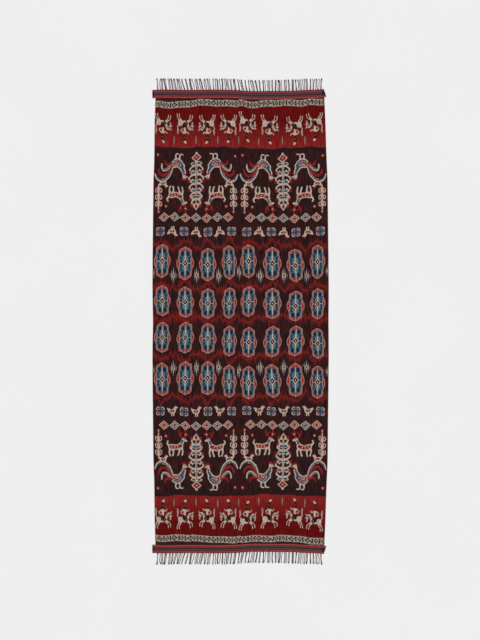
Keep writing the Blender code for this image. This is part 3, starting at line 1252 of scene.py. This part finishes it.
def dyed_figures(cotton, colour, dark, pale):
    """The drawn motifs, one dye over another."""
    cream, stripe, blue = cotton.stored("figures")
    red, shade, line = cotton.stored("details")
    run, fine_run, fleck = cotton.run, cotton.fine_run, cotton.fleck
    cream_dye = cotton.between(run, *tones("figure cream"))
    cream_dye = cotton.mix((cotton.grain * 3.4 - 1.5).within() * 0.6, cream_dye, dye("cream mottle"))
    colour = cotton.lay(colour, cream, cream_dye)
    colour = cotton.lay(colour, stripe, dye("edge stripe"))
    colour = cotton.lay(colour, blue, cotton.between(fine_run, *tones("figure blue")))
    colour = cotton.lay(colour, red, cotton.between(run, *tones("figure red")))
    colour = cotton.mix(cotton.mark(shade, 4.0) * 0.7, colour, dye("figure shade"))
    colour = cotton.lay(colour, line, cream_dye)
    colour = cotton.lay(colour, dark, cotton.mix(fleck, *tones("figure dark")))
    return cotton.lay(colour, pale, dye("figure grey"))


def ikat_cotton():
    """Handspun cotton: its grounds, rosettes and figures, each yarn in its own tone with painted shade
    between the yarns, and ribbed by the weave.
    """
    cotton = Cotton("ikat_cotton")
    dark, end_field, pale = cotton.stored("grounds")
    from_middle, from_waist, _ = cotton.stored("repeats")
    colour = dyed_grounds(cotton, end_field)
    colour = dyed_bursts(cotton, colour, from_middle, from_waist)
    colour = dyed_rosettes(cotton, colour, from_middle, from_waist)
    colour = dyed_figures(cotton, colour, dark, pale)
    groove = (cotton.across * (math.pi / YARN_MM)).sine().size()
    # each yarn's own tone, plus painted shade: darker in the grooves between the yarns, lighter on their
    # crowns
    lightness = 0.82 + 0.16 * cotton.thread + 0.13 * groove
    cotton.paint(cotton.shaded(colour, lightness))
    over_under = (cotton.across / YARN_MM).floor() * 0.5 + cotton.along / PICK_MM
    height = groove * 0.6 + (over_under * (2 * math.pi)).sine() * 0.3
    cotton.emboss(height, 0.35)
    return cotton


BAND_STRIPES = (
    # place from the inner edge, 0, to the outer, 1, then the stripe's display values
    (0.00, (84, 26, 26)), (0.04, (120, 38, 34)), (0.07, (160, 74, 68)), (0.13, (158, 68, 62)),
    (0.15, (134, 44, 38)), (0.25, (126, 38, 34)), (0.26, (62, 36, 40)), (0.29, (66, 44, 50)),
    (0.30, (82, 74, 80)), (0.36, (76, 68, 76)), (0.38, (46, 34, 44)), (0.43, (46, 32, 44)),
    (0.44, (76, 28, 52)), (0.52, (72, 26, 48)), (0.54, (48, 34, 42)), (0.56, (78, 74, 74)),
    (0.64, (74, 70, 70)), (0.66, (54, 36, 38)), (0.69, (66, 30, 34)), (0.70, (112, 30, 30)),
    (0.77, (120, 34, 32)), (0.79, (148, 66, 50)), (0.88, (142, 58, 46)), (0.91, (108, 30, 32)),
    (1.00, (88, 24, 26)),
)


def band_cotton():
    """The woven band's long stripes, crossed by the ribs of the warp ends it gathers."""
    finish = Finish("band_cotton", 0.88)
    across, along, _ = finish.stored("place")
    run = finish.noise(across * 0.9, along * 0.02)
    fleck = finish.noise(across * 0.4, along * 0.25)
    stops = [(place, display(*colour)) for place, colour in BAND_STRIPES]
    place = across * 0.5 + 0.5 + (run - 0.5) * 0.02
    ramp = finish.node("ShaderNodeValToRGB", {"stops": stops}, {0: place})
    rib = (along * (2 * math.pi / RIB_MM)).sine()
    from_end = BAND_HALF_LENGTH - (along - BAND_MIDDLE_ACROSS).size()
    cut = ((15.0 - from_end) / 9.0).within() * (2.6 - across.size() * 4.0).within()
    colour = finish.mix(cut * 0.8, ramp, dye("band end"))
    lightness = 0.82 + 0.26 * run + 0.07 * rib + 0.16 * (fleck - 0.5)
    finish.paint(finish.shaded(colour, lightness))
    yarns = (across * (math.pi * BAND_WIDTH / MM / 2 / BAND_YARN_MM)).sine().size()
    finish.emboss(yarns, 0.3)
    return finish


# Where along a strand its bound tip starts and its darker root ends
TIP_SHARE = 0.80
ROOT_SHARE = 0.18


def fringe_yarn():
    """Two-ply cords of undyed and dyed yarn, dark at their bound tips."""
    finish = Finish("fringe_yarn", 0.92)
    along, tone, length_share = finish.stored("place")
    fleck = finish.noise(along * 0.6, tone * 40.0)
    light = finish.mix(fleck, *tones("undyed yarn"))
    maroon = finish.mix(fleck, *tones("maroon yarn"))
    ink = finish.mix(fleck, *tones("black yarn"))
    colour = finish.mix((tone - 0.5) * 40.0, light, maroon)
    colour = finish.mix((tone - 1.5) * 40.0, colour, ink)
    tip = ((length_share - TIP_SHARE) * 10.0).within()
    root = ((ROOT_SHARE - length_share) * 7.0).within()
    colour = finish.mix(tip * 0.9, colour, dye("bound tip"))
    colour = finish.mix(root * 0.5, colour, dye("strand root"))
    finish.paint(colour)
    finish.emboss((along * 5.0 + tone * 3.0).sine(), 0.25)
    return finish


def stitch_thread():
    """Waxed cotton sewing thread."""
    finish = Finish("stitch_thread", 0.8)
    across, along, _ = finish.stored("place")
    fleck = finish.noise(across * 1.2, along * 1.2)
    finish.paint(finish.mix(fleck, *tones("sewing thread")))
    return finish


def pale_floor():
    """A plain pale surface."""
    finish = Finish("pale_floor", 0.9, shine=0.0)
    place = finish.node("ShaderNodeTexCoord", {}, {}, "Object")
    grain = finish.node("ShaderNodeTexNoise", {}, {"Vector": place, "Scale": 1.5}, "Fac")
    finish.paint(finish.mix(grain, *tones("floor")))
    return finish


# Bands, fringe and stitches

BAND_COLUMNS = 1150
BAND_PROFILE = (
    # share of the half width from the inner edge, share of the thickness
    (0.00, 0.0), (-0.98, 0.0), (-1.00, 0.30), (-1.00, 0.62), (-0.985, 0.86), (-0.95, 0.97), (-0.88, 1.0),
    (-0.72, 1.0), (-0.60, 0.98), (-0.44, 0.97), (-0.40, 0.88), (-0.36, 0.95), (-0.20, 1.0), (0.00, 1.0),
    (0.20, 1.0), (0.34, 0.95), (0.39, 0.88), (0.43, 0.97), (0.60, 1.0), (0.72, 1.0), (0.88, 1.0),
    (0.95, 0.97), (0.985, 0.86), (1.00, 0.62), (1.00, 0.30), (0.98, 0.0),
)
RIB_HEIGHT = 0.16 * MM
BAND_SAG = 0.35 * MM
BAND_END_ROUND = 3 * MM
BAND_END_HEIGHT = 0.45


def band(name, end, finish):
    """A stout band: a rounded strip with long ridges, ribbed by the warp ends inside it."""
    around = len(BAND_PROFILE)
    bm = bmesh.new()
    bmesh.ops.create_grid(bm, x_segments=BAND_COLUMNS, y_segments=around, size=0.5)
    mesh = bpy.data.meshes.new(name)
    bm.to_mesh(mesh)
    places = points_of(mesh)
    step = np.round((places[:, 1] + 0.5) * around).astype(int) % around
    share = places[:, 0] + 0.5
    profile = np.array(BAND_PROFILE)
    across, height = profile[step, 0], profile[step, 1]
    slant = BAND_RIGHT_END_OUTER - BAND_RIGHT_END_INNER
    right = BAND_RIGHT_END_INNER + slant * (0.5 + 0.5 * across)
    x = BAND_LEFT_END + share * (right - BAND_LEFT_END)
    y = (1 - across) / 2 * band_inner(x) + (1 + across) / 2 * band_outer(x)
    from_end = np.minimum(share, 1 - share) * (BAND_RIGHT_END_INNER - BAND_LEFT_END)
    ends = np.clip(from_end / BAND_END_ROUND, 0, 1) ** 0.5
    rib = RIB_HEIGHT * np.cos(2 * math.pi * x / (RIB_MM * MM)) * (1 - np.abs(across) ** 6)
    uneven = BAND_SAG * np.sin(x * 34 + 1.0) * np.cos(across * 1.7 + x * 9)
    raised = np.where(height > 0.5, rib + uneven * ends, 0)
    z = BAND_THICKNESS * height * (BAND_END_HEIGHT + (1 - BAND_END_HEIGHT) * ends) + raised
    for k, vert in enumerate(bm.verts):
        vert.co = (x[k], end * y[k], max(z[k], 0.0))
    mesh.clear_geometry()
    mark = bm.verts.layers.float_vector.new("place")
    for k, vert in enumerate(bm.verts):
        vert[mark] = (across[k], x[k] / MM, height[k])
    bmesh.ops.remove_doubles(bm, verts=bm.verts, dist=1e-6)
    open_ends = [edge for edge in bm.edges if edge.is_boundary]
    bmesh.ops.holes_fill(bm, edges=open_ends, sides=0)
    bmesh.ops.recalc_face_normals(bm, faces=bm.faces)
    bm.to_mesh(mesh)
    bm.free()
    return add_piece(name, mesh, finish, [name.replace("woven_", "")])


def tubes(name, runs, sides):
    """One mesh of round tubes, each from its centre points, radii and three numbers to keep."""
    verts, faces, kept = [], [], []
    angles = np.arange(sides) * 2 * math.pi / sides
    for points, radii, marks in runs:
        first = sum(len(block) for block in verts)
        ahead = np.gradient(points, axis=0)
        ahead /= np.linalg.norm(ahead, axis=1)[:, None]
        beside = np.cross(ahead, (0.0, 0.0, 1.0))
        beside /= np.linalg.norm(beside, axis=1)[:, None]
        above = np.cross(beside, ahead)
        ring = (
            np.cos(angles)[None, :, None] * beside[:, None, :]
            + np.sin(angles)[None, :, None] * above[:, None, :]
        )
        block = points[:, None, :] + radii[:, None, None] * ring
        count = len(points)
        verts.append(block.reshape(-1, 3))
        kept.append(np.repeat(marks, sides, axis=0))
        for row in range(count - 1):
            low = first + row * sides
            for k in range(sides):
                after = (k + 1) % sides
                faces.append((low + k, low + after, low + sides + after, low + sides + k))
        last = first + (count - 1) * sides
        faces.append(tuple(range(first + sides - 1, first - 1, -1)))
        faces.append(tuple(range(last, last + sides)))
    mesh = bpy.data.meshes.new(name)
    mesh.from_pydata(np.concatenate(verts).tolist(), [], faces)
    mesh.update()
    fill_points(mesh, "place", *np.concatenate(kept).T)
    return mesh


def strands():
    """Each strand as its root x, tip x, bow and length, from left to right."""
    draw = random.Random(STRAND_SEED)
    pitch = (FRINGE_RIGHT - FRINGE_LEFT) / STRAND_COUNT
    found = []
    for k in range(STRAND_COUNT):
        root = FRINGE_LEFT + (k + 0.5) * pitch + draw.uniform(-1, 1) * ROOT_JITTER
        tip = root + smooth(LEAN, root) + draw.uniform(-1, 1) * TIP_JITTER
        bow = draw.uniform(-1, 1) * BOW_JITTER
        length = FRINGE_LENGTH - abs(draw.uniform(-1, 1)) * LENGTH_JITTER
        found.append((root, tip, bow, length))
    return found


BUNCH_SEED = 41
BUNCHES = (
    # strands, how far their roots and their tips draw together, sideways play of the tips in mm,
    # knot, and the tone of each strand's two plies: 0 undyed, 1 maroon, 2 black
    (2, 0.55, 0.80, 6.0, 1.00, ((1, 0), (1, 1))),
    (2, 0.50, 0.70, 5.0, 0.80, ((1, 1), (1, 2))),
    (1, 0.00, 0.00, 6.0, 0.90, ((1, 2),)),
    (1, 0.00, 0.00, 5.0, 0.60, ((1, 0),)),
    (3, 0.40, 0.62, 4.0, 0.90, ((1, 0), (2, 1), (1, 0))),
    (3, 0.25, 0.30, 3.0, 0.35, ((0, 0), (0, 2), (1, 0))),
    (2, 0.50, 0.50, 4.0, 0.55, ((0, 1), (2, 0))),
    (2, 0.60, -0.20, 4.0, 0.70, ((1, 0), (0, 1))),
    (2, -0.20, 0.75, 4.0, 0.85, ((2, 2), (1, 2))),
)


def bunches():
    """Each strand's root x, tip x, bow, length, knot and tones, gathered where strands cling."""
    draw = random.Random(BUNCH_SEED)
    left = strands()
    found = []
    while left:
        count, root_pull, tip_pull, play, knot, ply_tones = draw.choice(BUNCHES)
        group, left = left[:count], left[count:]
        root_middle = sum(strand[0] for strand in group) / len(group)
        tip_middle = sum(strand[1] for strand in group) / len(group)
        aside = draw.uniform(-1, 1) * play * MM
        for (root, tip, bow, length), pair in zip(group, ply_tones):
            root += (root_middle - root) * root_pull
            tip += (tip_middle - tip) * tip_pull + aside
            found.append((root, min(max(tip, FRINGE_LEFT), FRINGE_RIGHT), bow, length, knot, pair))
    return found


# A strand's plies, its knot, its frayed end and its play
PLY_RADIUS = 1.15 * MM
PLY_OFFSET = 0.95 * MM
PLY_RINGS = 27
PLY_SIDES = 6
TWIST_PITCH = 17 * MM
PLY_TOP = FRINGE_BOX[1].z + 1.0 * MM
ROOT_OVERLAP = 1.0 * MM
KNOT_SHARE = 0.90
KNOT_REACH = 0.055
FRAY_SHARE = 0.03
FRAY_REACH = 0.08
STRAND_WAVE = 1.1 * MM
HOOK = 3.6 * MM
HOOK_SHARE = 0.72
FRINGE_SEED = 31


def twisted(strand, t, end, draw):
    """One strand's two plies, as runs for tubes: a knot near the tip and a frayed end."""
    root, tip, bow, length, knot_size, ply_tones = strand
    base = float(band_outer(root)) - ROOT_OVERLAP
    knot = knot_size * np.exp(-(((t - KNOT_SHARE) / KNOT_REACH) ** 2))
    loose = np.clip((t - KNOT_SHARE - FRAY_SHARE) / FRAY_REACH, 0, 1)
    sideways = draw.uniform(-STRAND_WAVE, STRAND_WAVE)
    wave = sideways * np.sin(2 * math.pi * t * draw.uniform(0.8, 1.5))
    hook = draw.uniform(-1, 1) * HOOK * np.clip((t - HOOK_SHARE) / (1 - HOOK_SHARE), 0, 1) ** 2
    centre_x = root + (tip - root) * t + bow * np.sin(math.pi * t) + wave + hook
    centre_y = base + (length + ROOT_OVERLAP) * t
    turn = 2 * math.pi * (length * t / TWIST_PITCH) + draw.uniform(0, 2 * math.pi)
    offset = PLY_OFFSET * (1 - 0.3 * np.minimum(knot, 1) + 0.9 * loose)
    radii = PLY_RADIUS * (1 - 0.12 * t) * (1 + 0.95 * knot) * (1 - 0.72 * loose)
    runs = []
    for ply, tone in enumerate(ply_tones):
        angle = turn + math.pi * ply
        lift = radii + offset * (0.5 + 0.5 * np.sin(angle))
        z = np.maximum(np.minimum(lift, PLY_TOP - radii), radii)
        points = np.column_stack((centre_x + offset * np.cos(angle), end * centre_y, z))
        marks = np.column_stack((t * length / MM, np.full_like(t, tone), t))
        runs.append((points, radii, marks))
    return runs


def fringe(name, end, finish):
    """The twisted warp ends beyond the band."""
    draw = random.Random(FRINGE_SEED + end)
    t = np.linspace(0.0, 1.0, PLY_RINGS)
    runs = [run for strand in bunches() for run in twisted(strand, t, end, draw)]
    mesh = tubes(name, runs, PLY_SIDES)
    return add_piece(name, mesh, finish, [name.replace("twisted_", "")])


# The seam's stitches
STITCH_PITCH = 12 * MM
STITCH_RADIUS = 0.35 * MM
STITCH_REACH = 2.4 * MM
STITCH_SLANT = 2.2 * MM
STITCH_PLAY = 0.4 * MM
STITCH_RINGS = 7
STITCH_SIDES = 5
SEAM_END = 4 * MM
STITCH_SEED = 17


def seam_stitches(finish):
    """Slanting stitches of doubled thread that draw the two panels together."""
    draw = random.Random(STITCH_SEED)
    runs = []
    limit = float(band_inner(0.0)) - SEAM_END
    count = int(2 * limit / STITCH_PITCH)
    for k in range(count):
        y = -limit + (k + 0.5) * STITCH_PITCH + draw.uniform(-1, 1) * MM
        middle = smooth(SEAM, abs(y)) + draw.uniform(-STITCH_PLAY, STITCH_PLAY)
        share = np.linspace(-1.0, 1.0, STITCH_RINGS)
        x = middle + share * STITCH_REACH * draw.uniform(0.85, 1.1)
        slant = y + share * STITCH_SLANT
        ground = ripple_height(x, limit - np.abs(slant)) + CLOTH_THICKNESS
        z = ground + STITCH_RADIUS * (1.1 - 1.6 * np.abs(share) ** 3)
        radii = STITCH_RADIUS * (1 - 0.35 * np.abs(share) ** 4)
        marks = np.column_stack((share, np.full_like(share, k), share))
        runs.append((np.column_stack((x, slant, z)), radii, marks))
    mesh = tubes("seam_stitches", runs, STITCH_SIDES)
    return add_piece("seam_stitches", mesh, finish)


# Stage

FLOOR_HALF = 20.0
FLOOR_DROP = 0.2 * MM
FLOOR_FACES = 8


def floor():
    """A wide flat surface just under the cloth."""
    bm = bmesh.new()
    bmesh.ops.create_grid(bm, x_segments=FLOOR_FACES, y_segments=FLOOR_FACES, size=FLOOR_HALF)
    mesh = bpy.data.meshes.new("floor")
    bm.to_mesh(mesh)
    bm.free()
    mesh.materials.append(pale_floor().material)
    plane = bpy.data.objects.new("floor", mesh)
    plane.location.z = -FLOOR_DROP
    bpy.context.scene.collection.objects.link(plane)


SKY_STRENGTH = 0.575
LAMP_STRENGTH = 1.60
LAMP_SPREAD = math.radians(35)
LAMP_TILT = (math.radians(28), math.radians(-20), 0.0)


def light():
    """Even white light all round, with one broad soft lamp from the upper left."""
    scene = bpy.context.scene
    world = bpy.data.worlds.new("studio")
    world.use_nodes = True
    background = world.node_tree.nodes["Background"]
    background.inputs["Color"].default_value = (1.0, 1.0, 1.0, 1.0)
    background.inputs["Strength"].default_value = SKY_STRENGTH
    scene.world = world
    lamp = bpy.data.lights.new("soft_lamp", "SUN")
    lamp.energy = LAMP_STRENGTH
    lamp.angle = LAMP_SPREAD
    holder = bpy.data.objects.new("soft_lamp", lamp)
    holder.rotation_euler = LAMP_TILT
    scene.collection.objects.link(holder)
    scene.view_settings.view_transform = "Standard"


def camera():
    """Straight above, at the scale of the photo's frame."""
    data = bpy.data.cameras.new("camera")
    data.lens = LENS_MM
    data.sensor_width = SENSOR_MM
    data.sensor_fit = "AUTO"
    data.clip_end = CAMERA_REACH
    holder = bpy.data.objects.new("camera", data)
    distance = FRAME_HEIGHT * METRES_PER_PIXEL * LENS_MM / SENSOR_MM
    x = ((FRAME_WIDTH - 1) / 2 - CLOTH_MIDDLE_PIXEL[0]) * METRES_PER_PIXEL
    y = (CLOTH_MIDDLE_PIXEL[1] - (FRAME_HEIGHT - 1) / 2) * METRES_PER_PIXEL
    holder.location = (x, y, distance)
    bpy.context.scene.collection.objects.link(holder)
    bpy.context.scene.camera = holder


def main():
    """Sets the stage and makes the seven pieces."""
    camera()
    light()
    floor()
    cotton = ikat_cotton()
    panels = [panel(f"ikat_panel_{where}", side, cotton) for where, side in (("left", -1), ("right", 1))]
    stitches = seam_stitches(stitch_thread())
    band_finish, yarn_finish = band_cotton(), fringe_yarn()
    bands, fringes = [], []
    for where, end in (("top", 1), ("bottom", -1)):
        bands.append(band(f"woven_band_{where}", end, band_finish))
        fringes.append(fringe(f"twisted_fringe_{where}", end, yarn_finish))


main()
